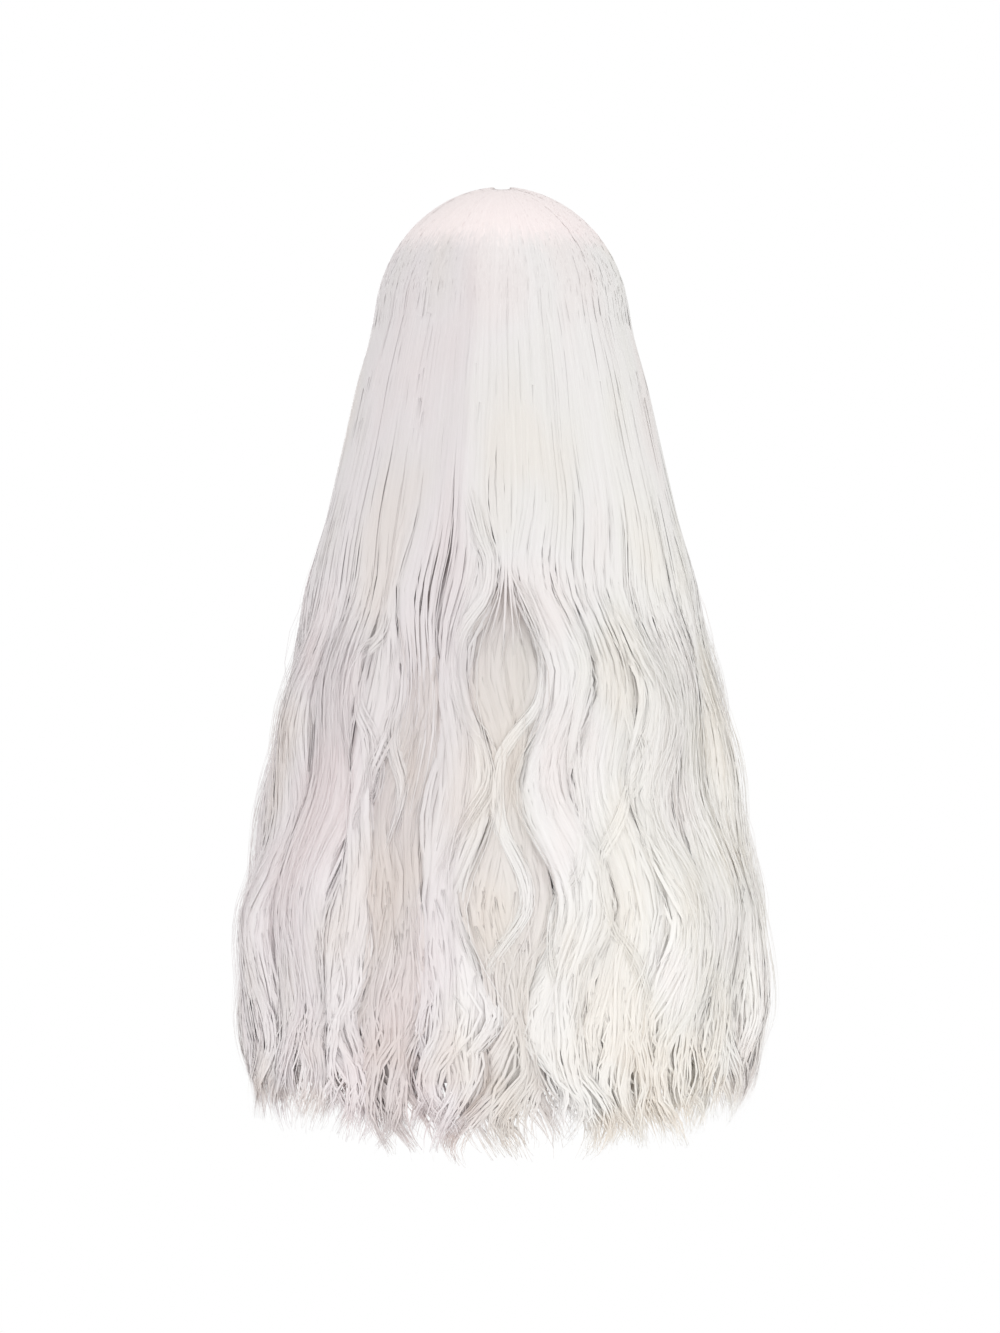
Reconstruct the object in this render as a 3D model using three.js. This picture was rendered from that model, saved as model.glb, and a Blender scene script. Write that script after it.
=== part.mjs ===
// A long wavy wig in the shape it has on a head: a thin cap, a parting strip and the locks sewn to the cap.
// Millimetres, +Z up. The wearer faces +Y, and the origin is where the crown of the head meets the cap.
import * as THREE from "three";

// The head that the cap fits
const headWidth = 151;
const headBack = 97;
const headFront = 95;
const headHeight = 90; // from the crown down to the widest level
const headFullness = 1.93; // 2 is an ellipsoid, and more is squarer

// The layers on the head, from the inside out
const capWall = 1.5;
const seamGap = 0.4; // between the panels of the cap
const seatGap = 0.4;
const underHair = 9;
const lapGap = 1.2;
const crownHair = 8;
const topHair = 9; // thickness of all the hair at the very top, where it is thinner than at the sides

// The fall of the hair
const wigLength = 700; // from the top of the hair to the longest tips
const hemWidth = 400;
const hemBack = 154;
const hemFront = 126;
const lockThickness = 20;
const lockRelief = 8; // how much lower a lock's edges lie than its middle
const lockGap = 1.2; // between neighbouring locks
const tipShare = 0.42; // of a lock's width that is left at its tip
const tipTaper = 0.08; // share of the fall over which a lock narrows

// The waves
const waveLength = 163;
const waveStart = 200; // below the top of the hair
const waveRamp = 130; // over which the waves grow to their full size
const waveSway = 15; // sideways
const waveSwell = 6; // in and out
const swellTurn = 0.37; // by which the swell of each lock runs ahead of the last one's

// The parting and the front edge
const partingFront = 78; // ahead of the origin
const partingBack = -30;
const stripWidth = 8.4;
const stripThickness = 1.2;
const partingDip = 5.4; // how much lower the hair lies at the parting
const dipReach = 16; // degrees over the head that the dip takes to rise again
const frontAngle = 122; // degrees round from the back, at the widest level of the head
const hemFrontAngle = 142;
const fanAngle = 58; // the hair inside this angle springs from the back end of the parting
const crownBackAngle = 50; // where the back piece of the crown hair meets the side pieces

// The rim of the cap and the hair at the nape
const napeDrop = 52; // of the cap's rim below the widest level of the head
const napeTuck = 14; // how far the rim curves in under the back of the head
const napeHair = 9;
const napeStart = 24; // below the widest level
const napeEnd = 0.86; // share of the fall

const layers = capWall + seatGap + underHair + lapGap + crownHair;
const ringDrop = headHeight + capWall + seatGap + topHair; // of the widest level below the top of the hair
const fallLength = wigLength - ringDrop;
const capOuter = layers - capWall;
const underInner = capOuter - seatGap;
const underOuter = crownHair + lapGap;
const radians = Math.PI / 180;

// The envelope of the fall: how far each size has gone from its value on the head to its value at the hem,
// and how thick a lock is, as a share of lockThickness.
const fallRows = [
  { at: 0, width: 0, back: 0, front: 0, edge: 0, thick: 0.88 },
  { at: 0.08, width: 0.13, back: 0.1, front: 0.1, edge: 0.1, thick: 0.89 },
  { at: 0.14, width: 0.205, back: 0.16, front: 0.15, edge: 0.17, thick: 0.9 },
  { at: 0.25, width: 0.345, back: 0.28, front: 0.25, edge: 0.32, thick: 0.93 },
  { at: 0.33, width: 0.49, back: 0.38, front: 0.34, edge: 0.43, thick: 0.95 },
  { at: 0.4, width: 0.59, back: 0.47, front: 0.42, edge: 0.5, thick: 0.97 },
  { at: 0.5, width: 0.71, back: 0.59, front: 0.53, edge: 0.62, thick: 1 },
  { at: 0.62, width: 0.87, back: 0.73, front: 0.66, edge: 0.75, thick: 1 },
  { at: 0.72, width: 0.96, back: 0.84, front: 0.78, edge: 0.87, thick: 1 },
  { at: 0.86, width: 1, back: 1, front: 1, edge: 1, thick: 0.92 },
  { at: 0.93, width: 0.95, back: 0.98, front: 1, edge: 1, thick: 0.78 },
  { at: 1, width: 0.84, back: 0.92, front: 0.96, edge: 1, thick: 0.6 },
];

// Where the tips end, as a share of the fall, from the middle of the back to the front edges.
const tipRows = [
  { at: 0, tip: 1 },
  { at: 0.21, tip: 0.99 },
  { at: 0.35, tip: 0.975 },
  { at: 0.53, tip: 0.95 },
  { at: 0.65, tip: 0.93 },
  { at: 0.85, tip: 0.91 },
  { at: 1, tip: 0.89 },
];

// How deep the locks lie under the crown hair, as a share of underOuter, down the fall.
const coverRows = [
  { at: 0, cover: 1 },
  { at: 0.12, cover: 1 },
  { at: 0.38, cover: 0.26 },
  { at: 0.44, cover: 0 },
];

// Where each piece of the crown hair ends, as a share of the fall, from its left edge to its right one.
const crownEnds = [
  { at: 0, back: 0.2, side: 0.2 },
  { at: 0.125, back: 0.33, side: 0.3 },
  { at: 0.25, back: 0.23, side: 0.2 },
  { at: 0.375, back: 0.37, side: 0.34 },
  { at: 0.5, back: 0.22, side: 0.22 },
  { at: 0.625, back: 0.34, side: 0.36 },
  { at: 0.75, back: 0.24, side: 0.21 },
  { at: 0.875, back: 0.31, side: 0.32 },
  { at: 1, back: 0.2, side: 0.2 },
];

// The edges between the locks, from the left front edge to the right one: where each lies as a share of the
// front edge's angle, how far it sways as a share of waveSway, and where in the wave it starts, in turns.
const edgeRows = [
  { at: -1, sway: 0.5, turn: 0.5 },
  { at: -0.875, sway: 0.7, turn: 0.62 },
  { at: -0.74, sway: 0.8, turn: 0.4 },
  { at: -0.595, sway: 0.8, turn: 0.56 },
  { at: -0.44, sway: 0.7, turn: 0.64 },
  { at: -0.295, sway: 0.6, turn: 0.68 },
  { at: -0.225, sway: 0.5, turn: 0.18 },
  { at: -0.13, sway: 0.3, turn: 0 },
  { at: -0.038, sway: 0.95, turn: 0.779 },
  { at: 0.06, sway: 0.95, turn: 0.279 },
  { at: 0.155, sway: 0.8, turn: 0.25 },
  { at: 0.26, sway: 0.9, turn: 0.2 },
  { at: 0.375, sway: 0.8, turn: 0.12 },
  { at: 0.49, sway: 0.7, turn: 0.2 },
  { at: 0.61, sway: 0.8, turn: 0.02 },
  { at: 0.74, sway: 0.8, turn: 0.92 },
  { at: 0.875, sway: 0.7, turn: 0.1 },
  { at: 1, sway: 0.5, turn: 0.95 },
];

// The locks from left to right: how far each lies behind its neighbours, as a share of lockRelief, and how much
// shorter it is than tipRows says, as a share of the fall.
const lockRows = [
  { name: "lock_front_left_2", sunk: 0.3, short: 0 },
  { name: "lock_front_left_1", sunk: 0, short: 0.02 },
  { name: "lock_side_left_3", sunk: 0.5, short: 0 },
  { name: "lock_side_left_2", sunk: 0, short: 0.015 },
  { name: "lock_side_left_1", sunk: 0.4, short: 0 },
  { name: "lock_back_left_3", sunk: 0, short: 0.012 },
  { name: "lock_back_left_2", sunk: 0.7, short: 0 },
  { name: "lock_back_left_1", sunk: 0, short: 0.015 },
  { name: "lock_back_centre", sunk: 0.9, short: 0 },
  { name: "lock_back_right_1", sunk: 0, short: 0.01 },
  { name: "lock_back_right_2", sunk: 0.4, short: 0.015 },
  { name: "lock_back_right_3", sunk: 0, short: 0 },
  { name: "lock_side_right_1", sunk: 0.5, short: 0.02 },
  { name: "lock_side_right_2", sunk: 0, short: 0 },
  { name: "lock_side_right_3", sunk: 0.4, short: 0.015 },
  { name: "lock_front_right_1", sunk: 0, short: 0 },
  { name: "lock_front_right_2", sunk: 0.3, short: 0.02 },
];

// Stations down the hair: degrees over the head, then shares of the fall.
const domeStations = [0, 14, 28, 41, 52, 60, 63, 76, 90];
const lockDomeStations = [63, 76, 90];
const crownThinStart = 52; // degrees over the head where the crown hair starts to thin over the locks
const crownThinEnd = 60;
const fallStations = [
  0.045, 0.09, 0.14, 0.2, 0.25, 0.3, 0.345, 0.39, 0.435, 0.48, 0.525, 0.57, 0.615, 0.66, 0.705, 0.75, 0.795,
  0.84, 0.885, 0.925, 0.96,
];
const crownStations = [0.045, 0.09, 0.14, 0.19];
const crownRelief = 2.2; // how much lower the hair lies between the points of the crown hair
const lockColumns = 4;
const crownColumns = 8;
const stripColumns = 4;
const stripRows = 9;

const smooth = (t) => t * t * (3 - 2 * t);
const mix = (a, b, t) => a + (b - a) * t;
const clamp01 = (t) => Math.min(1, Math.max(0, t));

// A column of a table, eased between its rows.
function read(rows, column, at) {
  const next = rows.findIndex((row) => row.at >= at);
  if (next === 0) return rows[0][column];
  if (next < 0) return rows[rows.length - 1][column];
  const [a, b] = [rows[next - 1], rows[next]];
  return mix(a[column], b[column], (at - a.at) / (b.at - a.at));
}

// Where hair that hangs at an angle springs from along the parting.
function rootAt(angle) {
  return mix(partingBack, partingFront, clamp01((Math.abs(angle) - fanAngle) / (frontAngle - fanAngle)));
}

// The half sizes of the dome at a depth below the outer hair.
function domeSize(depth) {
  const offset = layers - depth;
  const rise = depth < underInner ? capWall + seatGap + topHair * (1 - depth / underInner) : offset;
  return {
    width: headWidth / 2 + offset,
    back: headBack + offset,
    front: headFront + offset,
    rise: headHeight + rise,
  };
}

function domeHeight(x, y, size) {
  const plan =
    (Math.abs(x) / size.width) ** headFullness + (Math.abs(y) / (y < 0 ? size.back : size.front)) ** headFullness;
  return Math.max(0, 1 - plan) ** (1 / headFullness) * size.rise - headHeight;
}

// A point over the head: over is 0 at the parting and 90 at the widest level.
function domePoint(angle, over, depth) {
  const size = domeSize(depth);
  const turn = angle * radians;
  const along = Math.sin(over * radians);
  const ringY = -Math.cos(turn) * (Math.cos(turn) > 0 ? size.back : size.front);
  const x = size.width * Math.sin(turn) * along;
  const y = mix(rootAt(angle), ringY, along);
  return new THREE.Vector3(x, y, over < 90 ? domeHeight(x, y, size) : -headHeight);
}

// A point of the fall: share is 0 at the widest level of the head and 1 at the longest tips.
function fallPoint(angle, share, depth) {
  const width = mix(headWidth / 2 + layers, hemWidth / 2, read(fallRows, "width", share)) - depth;
  const back = mix(headBack + layers, hemBack, read(fallRows, "back", share)) - depth;
  const front = mix(headFront + layers, hemFront, read(fallRows, "front", share)) - depth;
  const turn = angle * radians;
  const y = -Math.cos(turn) * (Math.cos(turn) > 0 ? back : front);
  return new THREE.Vector3(width * Math.sin(turn), y, -headHeight - share * fallLength);
}

// Degrees of angle for each millimetre round the fall.
function degreesPerMm(angle, share) {
  const a = fallPoint(angle - 0.5, share, 0);
  const b = fallPoint(angle + 0.5, share, 0);
  return 1 / a.distanceTo(b);
}

const frontEdge = (share) => mix(frontAngle, hemFrontAngle, read(fallRows, "edge", share));
const dropAt = (share) => ringDrop + share * fallLength;
const waveSize = (drop) => smooth(clamp01((drop - waveStart) / waveRamp));
const waveAt = (drop, turn) => Math.sin(2 * Math.PI * ((drop - waveStart) / waveLength + turn));

// The angle of the edge between two locks, with its sway.
function edgeAngle(row, share) {
  const drop = dropAt(share);
  const base = row.at * frontEdge(share);
  const sway = waveSway * row.sway * waveSize(drop) * waveAt(drop, row.turn);
  return base + sway * degreesPerMm(base, share);
}

// A closed solid between an outer and an inner grid of points, rows running down and columns to the right
// as seen from outside.
function sheetSolid(outer, inner) {
  const rows = outer.length;
  const columns = outer[0].length;
  const points = [];
  const seen = new Map();
  const index = (p) => {
    const key = [p.x, p.y, p.z].map((c) => c.toFixed(3)).join();
    if (!seen.has(key)) {
      seen.set(key, points.length / 3);
      points.push(p.x, p.y, p.z);
    }
    return seen.get(key);
  };
  const triangles = [];
  const face = (...corners) => {
    const [a, b, c] = corners.map(index);
    if (a !== b && b !== c && a !== c) triangles.push(a, b, c);
  };
  const quad = (a, b, c, d) => {
    face(a, b, c);
    face(a, c, d);
  };
  for (let r = 0; r < rows - 1; r++) {
    for (let c = 0; c < columns - 1; c++) {
      quad(outer[r][c], outer[r + 1][c], outer[r + 1][c + 1], outer[r][c + 1]);
      quad(inner[r][c], inner[r][c + 1], inner[r + 1][c + 1], inner[r + 1][c]);
    }
    quad(inner[r][0], inner[r + 1][0], outer[r + 1][0], outer[r][0]);
    quad(outer[r].at(-1), outer[r + 1].at(-1), inner[r + 1].at(-1), inner[r].at(-1));
  }
  for (let c = 0; c < columns - 1; c++) {
    quad(inner[0][c], outer[0][c], outer[0][c + 1], inner[0][c + 1]);
    quad(outer.at(-1)[c], inner.at(-1)[c], inner.at(-1)[c + 1], outer.at(-1)[c + 1]);
  }
  const geometry = new THREE.BufferGeometry();
  geometry.setAttribute("position", new THREE.Float32BufferAttribute(points, 3));
  geometry.setIndex(triangles);
  geometry.computeVertexNormals();
  return geometry;
}

const hairMaterial = new THREE.MeshStandardMaterial({ color: 0xe9e4e1, roughness: 0.45, metalness: 0 });
const capMaterial = new THREE.MeshStandardMaterial({ color: 0xe6d9d0, roughness: 0.85, metalness: 0 });
const skinMaterial = new THREE.MeshStandardMaterial({ color: 0xf0d9d0, roughness: 0.6, metalness: 0 });

function piece(name, geometry, material) {
  const mesh = new THREE.Mesh(geometry, material);
  mesh.name = name;
  return mesh;
}

// The columns of the crown hair, which the cap shares so that their facets line up.
function crownAngles(from, to) {
  return Array.from({ length: crownColumns + 1 }, (_, c) => mix(from, to, c / crownColumns));
}

// The same columns, drawn in at both sides to leave a gap beside the neighbouring piece.
function trimmedAngles(from, to, gap) {
  const trim = (angle, c) => {
    const side = c === 0 ? 1 : c === crownColumns ? -1 : 0;
    return side * gap * 0.5 * degreesPerMm(angle, 0);
  };
  return crownAngles(from, to).map((angle, c) => angle + trim(angle, c));
}

// The degrees over the head at which a surface at a depth lies at a distance from the middle of the parting.
function rootOver(angle, distance, depth) {
  const reach = domePoint(Math.max(Math.abs(angle), fanAngle), 90, depth).x;
  return Math.asin(distance / reach) / radians;
}

// The cap: a thin dome of three panels, sewn together along the parting and behind the ears. It is cut high over
// the ears and reaches down to the nape.
function capRim(angle) {
  const round = Math.abs(angle) / frontAngle;
  const nape = napeDrop * (1 - smooth(clamp01(round / 0.68)));
  const temple = 0.3 * napeDrop * smooth(clamp01((round - 0.75) / 0.25));
  return Math.max(nape, temple) + 0.12 * napeDrop;
}

function capBelow(angle, below, depth) {
  const tucked = napeTuck * (below / napeDrop) ** 1.5 * Math.cos(Math.min(90, Math.abs(angle)) * radians);
  const point = domePoint(angle, 90, depth + tucked);
  point.z = -headHeight - below;
  return point;
}

function buildCapPanel(name, from, to) {
  const rim = [0.5, 1];
  const angles = trimmedAngles(from, to, seamGap);
  const surface = (depth) => [
    ...domeStations.map((over) =>
      angles.map((angle) => domePoint(angle, over || rootOver(angle, seamGap / 2, capOuter), depth)),
    ),
    ...rim.map((share) => angles.map((angle) => capBelow(angle, share * capRim(angle), depth))),
  ];
  return piece(name, sheetSolid(surface(capOuter), surface(layers)), capMaterial);
}

// The parting strip lies on the cap between the roots of the left and the right hair.
function buildPartingStrip() {
  const surface = (raised) =>
    Array.from({ length: stripRows + 1 }, (_, r) =>
      Array.from({ length: stripColumns + 1 }, (_, c) => {
        const x = stripWidth * (c / stripColumns - 0.5);
        const y = mix(partingFront - seatGap, partingBack, r / stripRows);
        return new THREE.Vector3(x, y, domeHeight(x, y, domeSize(underInner)) + raised);
      }),
    );
  return piece("parting_strip", sheetSolid(surface(stripThickness), surface(0)), skinMaterial);
}

// The crown hair lies on the cap and laps over the tops of the locks. It ends in points.
function crownOuter(over, angle, column) {
  const dip = partingDip * (underInner / topHair) * (1 - smooth(clamp01(over / dipReach)));
  const ridge = column % 2 ? 0 : crownRelief * smooth(clamp01(over / 90));
  return dip + ridge;
}

function crownInner(over) {
  return mix(underInner, crownHair, smooth(clamp01((over - crownThinStart) / (crownThinEnd - crownThinStart))));
}

function buildCrown(name, from, to) {
  const angles = trimmedAngles(from, to, lockGap);
  const rowRoot = (angle) => rootOver(angle, stripWidth / 2 + lapGap, underInner);
  const end = (c) => read(crownEnds, name === "crown_hair_back" ? "back" : "side", c / crownColumns);
  const dome = (depthAt) =>
    domeStations.map((over, r) =>
      angles.map((angle, c) => domePoint(angle, r ? over : rowRoot(angle), depthAt(r ? over : 0, angle, c))),
    );
  const spread = (angle, share) => (angle / frontAngle) * frontEdge(share);
  const last = crownStations.at(-1);
  const ends = [0.5, 1].map((part) => (c) => mix(last, end(c), part));
  const fall = (depthAt) =>
    [...crownStations.map((share) => () => share), ...ends].map((shareAt) =>
      angles.map((angle, c) => {
        const at = shareAt(c);
        return fallPoint(spread(angle, at), at, depthAt(at, c));
      }),
    );
  const outer = [...dome(crownOuter), ...fall((at, c) => (c % 2 ? 0 : crownRelief * read(coverRows, "cover", at)))];
  const inner = [
    ...dome((over) => crownInner(over)),
    ...fall((at) => underOuter * read(coverRows, "cover", at) - lapGap),
  ];
  return piece(name, sheetSolid(outer, inner), hairMaterial);
}

// One lock, between two edges, from under the crown hair to its tip.
function lockDepths(share, across, lock) {
  const drop = dropAt(share);
  const cover = underOuter * read(coverRows, "cover", share);
  const edge = 1 - Math.sin(Math.PI * across) ** 0.8;
  const relief = lockRelief * mix(0.15, 1, waveSize(drop)) * mix(lockRows[lock].sunk, 1, edge);
  const swell = waveSwell * waveSize(drop) * (0.5 - 0.5 * waveAt(drop, lock * swellTurn));
  const full = lockThickness * read(fallRows, "thick", share);
  return { outer: cover + relief + swell, inner: Math.max(full, cover + relief + tipShare * full) + swell };
}

function buildLock(lock) {
  const left = edgeRows[lock];
  const right = edgeRows[lock + 1];
  const middle = (left.at + right.at) / 2;
  const tip = read(tipRows, "tip", Math.abs(middle)) - lockRows[lock].short;
  const stations = [...fallStations.filter((share) => share < tip - 0.018), tip];
  const columns = Array.from({ length: lockColumns + 1 }, (_, c) => c / lockColumns);
  const angleAt = (share, across) => {
    const kept = mix(tipShare, 1, Math.sqrt(clamp01((tip - share) / tipTaper)));
    const gap = lockGap * 0.5;
    const from = edgeAngle(left, share);
    const to = edgeAngle(right, share);
    const perMm = degreesPerMm((from + to) / 2, share);
    return mix((from + to) / 2, mix(from + gap * perMm, to - gap * perMm, across), kept);
  };
  const grid = (side) => [
    ...lockDomeStations.map((over) =>
      columns.map((across) => {
        const depth = side === "outer" ? lockDepths(0, across, lock).outer : underInner;
        return domePoint(angleAt(0, across), over, depth);
      }),
    ),
    ...stations.map((share) =>
      columns.map((across) => fallPoint(angleAt(share, across), share, lockDepths(share, across, lock)[side])),
    ),
  ];
  return piece(lockRows[lock].name, sheetSolid(grid("outer"), grid("inner")), hairMaterial);
}

// The hair at the nape hangs inside the locks, from the lower part of the cap.
function buildNapeHair() {
  const angles = crownAngles(-crownBackAngle, crownBackAngle);
  const first = napeStart / fallLength;
  const stations = [first, ...fallStations.filter((share) => share > first + 0.01 && share < napeEnd - 0.1)];
  const end = (c) => (c % 2 ? napeEnd : napeEnd - 0.06);
  const clearance = (share) => waveSwell * waveSize(dropAt(share)) + lapGap;
  const outerDepth = (share) => lockThickness * read(fallRows, "thick", share) + clearance(share);
  const point = (angle, c, share, side) => {
    const at = share || end(c);
    const outer = fallPoint(angle, at, outerDepth(at));
    if (side === "outer") return outer;
    const below = at * fallLength;
    const freely = fallPoint(angle, at, outerDepth(at) + mix(1, 0.55, at) * napeHair);
    if (below > napeDrop) return freely;
    const seated = capBelow(angle, below, underInner - seatGap);
    seated.z = outer.z;
    return seated;
  };
  const grid = (side) =>
    [...stations, 0].map((share) => angles.map((angle, c) => point(angle, c, share, side)));
  return piece("nape_hair", sheetSolid(grid("outer"), grid("inner")), hairMaterial);
}

const wig = new THREE.Group();
wig.add(buildPartingStrip());
const crownPanels = [
  { side: "left", from: -frontAngle, to: -crownBackAngle },
  { side: "back", from: -crownBackAngle, to: crownBackAngle },
  { side: "right", from: crownBackAngle, to: frontAngle },
];
for (const { side, from, to } of crownPanels) {
  wig.add(buildCapPanel("cap_" + side, from, to));
  wig.add(buildCrown("crown_hair_" + side, from, to));
}
wig.add(buildNapeHair());
lockRows.forEach((_, lock) => wig.add(buildLock(lock)));

export default wig;
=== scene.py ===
import math
import bpy
import numpy as np
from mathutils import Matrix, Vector


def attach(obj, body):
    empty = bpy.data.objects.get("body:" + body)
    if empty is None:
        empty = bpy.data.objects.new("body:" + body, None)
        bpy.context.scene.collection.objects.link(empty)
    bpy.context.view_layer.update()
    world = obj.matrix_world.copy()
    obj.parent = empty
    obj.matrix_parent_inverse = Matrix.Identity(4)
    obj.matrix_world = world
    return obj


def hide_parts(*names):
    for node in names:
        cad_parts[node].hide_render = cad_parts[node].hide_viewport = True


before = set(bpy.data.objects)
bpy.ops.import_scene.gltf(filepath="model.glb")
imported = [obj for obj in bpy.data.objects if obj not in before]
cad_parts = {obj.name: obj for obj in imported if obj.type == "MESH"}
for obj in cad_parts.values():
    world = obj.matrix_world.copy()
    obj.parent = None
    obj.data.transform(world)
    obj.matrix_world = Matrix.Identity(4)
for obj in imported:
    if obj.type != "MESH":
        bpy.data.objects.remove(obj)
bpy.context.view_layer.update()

# Camera
# A long lens behind the wig, level with the middle of its length, as far off as keeps the hair's
# sides square to the view.
photo_height = 1333  # pixels
metres_per_pixel = 0.000744
camera_distance = 3.2
camera_centre = Vector((-0.0015, 0, -0.345))
camera_data = bpy.data.cameras.new("camera")
camera_data.sensor_width = 36
camera_data.lens = camera_data.sensor_width * camera_distance / (photo_height * metres_per_pixel)
camera = bpy.data.objects.new("camera", camera_data)
camera.location = camera_centre + Vector((0, -camera_distance, 0))
camera.rotation_euler = (math.radians(90), 0, 0)
bpy.context.scene.collection.objects.link(camera)
bpy.context.scene.camera = camera

# Crown hair
# Synthetic fibre sewn along the parting and round its back end. It runs over the dome of the head, laps
# over the tops of the long locks, and ends in fine points that blend into them.
head_width, head_back, head_front, head_height = 0.151, 0.097, 0.095, 0.09
head_fullness = 1.93
cap_wall, seat_gap, under_hair, lap_gap, crown_hair, top_hair = 0.0015, 0.0004, 0.009, 0.0012, 0.008, 0.009
wig_length, hem_width, hem_back, hem_front = 0.7, 0.4, 0.154, 0.126
lock_thickness, lock_relief = 0.02, 0.008
wave_length, wave_start, wave_ramp, wave_sway, wave_swell = 0.163, 0.2, 0.13, 0.015, 0.006
swell_turn = 0.37
lock_roundness = 0.8
straight_relief = 0.15  # how much of the grooves between locks is left where the hair hangs straight
least_thickness = 0.3
parting_front, parting_back = 0.078, -0.03
front_angle, hem_front_angle, fan_angle, crown_back_angle = 122, 142, 58, 50
layers = cap_wall + seat_gap + under_hair + lap_gap + crown_hair
ring_drop = head_height + cap_wall + seat_gap + top_hair
fall_length = wig_length - ring_drop
under_inner = layers - cap_wall - seat_gap
under_outer = crown_hair + lap_gap
fall_rows = {
    "at": [0, 0.08, 0.14, 0.25, 0.33, 0.4, 0.5, 0.62, 0.72, 0.86, 0.93, 1],
    "width": [0, 0.13, 0.205, 0.345, 0.49, 0.59, 0.71, 0.87, 0.96, 1, 0.95, 0.84],
    "back": [0, 0.1, 0.16, 0.28, 0.38, 0.47, 0.59, 0.73, 0.84, 1, 0.98, 0.92],
    "front": [0, 0.1, 0.15, 0.25, 0.34, 0.42, 0.53, 0.66, 0.78, 1, 1, 0.96],
    "edge": [0, 0.1, 0.17, 0.32, 0.43, 0.5, 0.62, 0.75, 0.87, 1, 1, 1],
    "thick": [0.88, 0.89, 0.9, 0.93, 0.95, 0.97, 1, 1, 1, 0.92, 0.78, 0.6],
}
cover_rows = {"at": [0, 0.12, 0.38, 0.44], "cover": [1, 1, 0.26, 0]}
edge_rows = {
    "at": [-1, -0.875, -0.74, -0.595, -0.44, -0.295, -0.225, -0.13, -0.038,
           0.06, 0.155, 0.26, 0.375, 0.49, 0.61, 0.74, 0.875, 1],
    "sway": [0.5, 0.7, 0.8, 0.8, 0.7, 0.6, 0.5, 0.3, 0.95,
             0.95, 0.8, 0.9, 0.8, 0.7, 0.8, 0.8, 0.7, 0.5],
    "turn": [0.5, 0.62, 0.4, 0.56, 0.64, 0.68, 0.18, 0, 0.779,
             0.279, 0.25, 0.2, 0.12, 0.2, 0.02, 0.92, 0.1, 0.95],
}
lock_sunk = np.array([0.3, 0, 0.5, 0, 0.4, 0, 0.7, 0, 0.9, 0, 0.4, 0, 0.5, 0, 0.4, 0, 0.3])
edge_at = np.array(edge_rows["at"])
edge_sway = np.array(edge_rows["sway"])
edge_turn = np.array(edge_rows["turn"])


def smooth(t):
    t = np.clip(t, 0, 1)
    return t * t * (3 - 2 * t)


def rise(value, start, length):
    """Rises smoothly from 0 at the start to 1 at the end of a length."""
    return smooth((value - start) / length)


def mix(a, b, t):
    return a + (b - a) * t


def read(rows, column, at):
    return np.interp(at, rows["at"], rows[column])


def stack(x, y, z):
    return np.stack(np.broadcast_arrays(x, y, z), axis=-1)


def dome_point(angle, over, depth):
    """A point over the head: over is 0 at the parting and 90 at the widest level."""
    offset = layers - depth
    lift = np.where(depth < under_inner, cap_wall + seat_gap + top_hair * (1 - depth / under_inner), offset)
    width, back, front = head_width / 2 + offset, head_back + offset, head_front + offset
    turn = np.radians(angle)
    along = np.sin(np.radians(over))
    forward = np.clip((abs(angle) - fan_angle) / (front_angle - fan_angle), 0, 1)
    root = mix(parting_back, parting_front, forward)
    ring_y = -np.cos(turn) * np.where(np.cos(turn) > 0, back, front)
    x = width * np.sin(turn) * along
    y = mix(root, ring_y, along)
    plan = (abs(x) / width) ** head_fullness + (abs(y) / np.where(y < 0, back, front)) ** head_fullness
    z = np.clip(1 - plan, 0, 1) ** (1 / head_fullness) * (head_height + lift) - head_height
    return stack(x, y, z)


def fall_sizes(share):
    """Half the width of the fall there, and how far it reaches to the back and to the front."""
    return (mix(head_width / 2 + layers, hem_width / 2, read(fall_rows, "width", share)),
            mix(head_back + layers, hem_back, read(fall_rows, "back", share)),
            mix(head_front + layers, hem_front, read(fall_rows, "front", share)))


def fall_point(angle, share, depth):
    """A point of the fall: share is 0 at the widest level of the head and 1 at the longest tips."""
    width, back, front = (size - depth for size in fall_sizes(share))
    turn = np.radians(angle)
    y = -np.cos(turn) * np.where(np.cos(turn) > 0, back, front)
    return stack(width * np.sin(turn), y, -head_height - share * fall_length)


def degrees_per_metre(angle, share):
    step = fall_point(angle + 0.5, share, 0) - fall_point(angle - 0.5, share, 0)
    return 1 / np.linalg.norm(step, axis=-1)


def front_edge(share):
    return mix(front_angle, hem_front_angle, read(fall_rows, "edge", share))


def lock_bared(share):
    """How clear the locks are there of the crown hair that lies over them."""
    return 1 - smooth(read(cover_rows, "cover", share) / 0.5)


def wave_size(drop):
    return rise(drop, wave_start, wave_ramp)


def wave_at(drop, turn):
    return np.sin(2 * np.pi * ((drop - wave_start) / wave_length + turn))


def lock_of(place):
    """The lock that lies at a place from -1 to 1 round the hair, and how far across the lock that is."""
    lock = np.clip(np.searchsorted(edge_at, place) - 1, 0, len(lock_sunk) - 1)
    return lock, (place - edge_at[lock]) / (edge_at[lock + 1] - edge_at[lock])


def flow_angle(place, share):
    """The angle of hair that keeps its place between the swaying edges of its lock."""
    lock, across = lock_of(place)
    drop = ring_drop + share * fall_length
    base = place * front_edge(share)
    left = edge_sway[lock] * wave_at(drop, edge_turn[lock])
    right = edge_sway[lock + 1] * wave_at(drop, edge_turn[lock + 1])
    sway = wave_sway * wave_size(drop) * mix(left, right, across)
    return base + sway * degrees_per_metre(base, share)


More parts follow.
